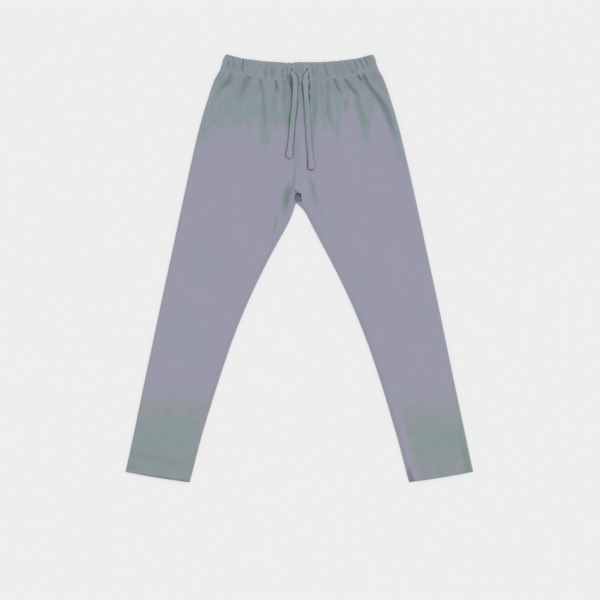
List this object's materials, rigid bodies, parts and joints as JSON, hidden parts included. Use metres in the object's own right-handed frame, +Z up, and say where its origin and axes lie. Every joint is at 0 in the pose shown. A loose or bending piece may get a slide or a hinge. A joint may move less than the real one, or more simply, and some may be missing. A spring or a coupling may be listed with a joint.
{
  "type": "leggings",
  "caption": "Child's plain jersey leggings with an elasticated, gathered drawstring waistband and plain hems, laid flat with the front up.",
  "frame": {"origin": "bottom centre of the bounding box, on the surface that the garment lies on", "axes": "+Y from the hems to the waist, +X to the wearer's left, +Z up out of the front"},
  "size_m": [0.554, 0.684, 0.0106],
  "materials": {
    "jersey": "matt knitted jersey, slate grey-blue",
    "tie_jersey": "the same jersey, sewn into a flat tube"
  },
  "bodies": {
    "root": {"left_leg": "jersey", "right_leg": "jersey", "waistband": "jersey", "left_tie": "tie_jersey", "right_tie": "tie_jersey"}
  },
  "joints": []
}
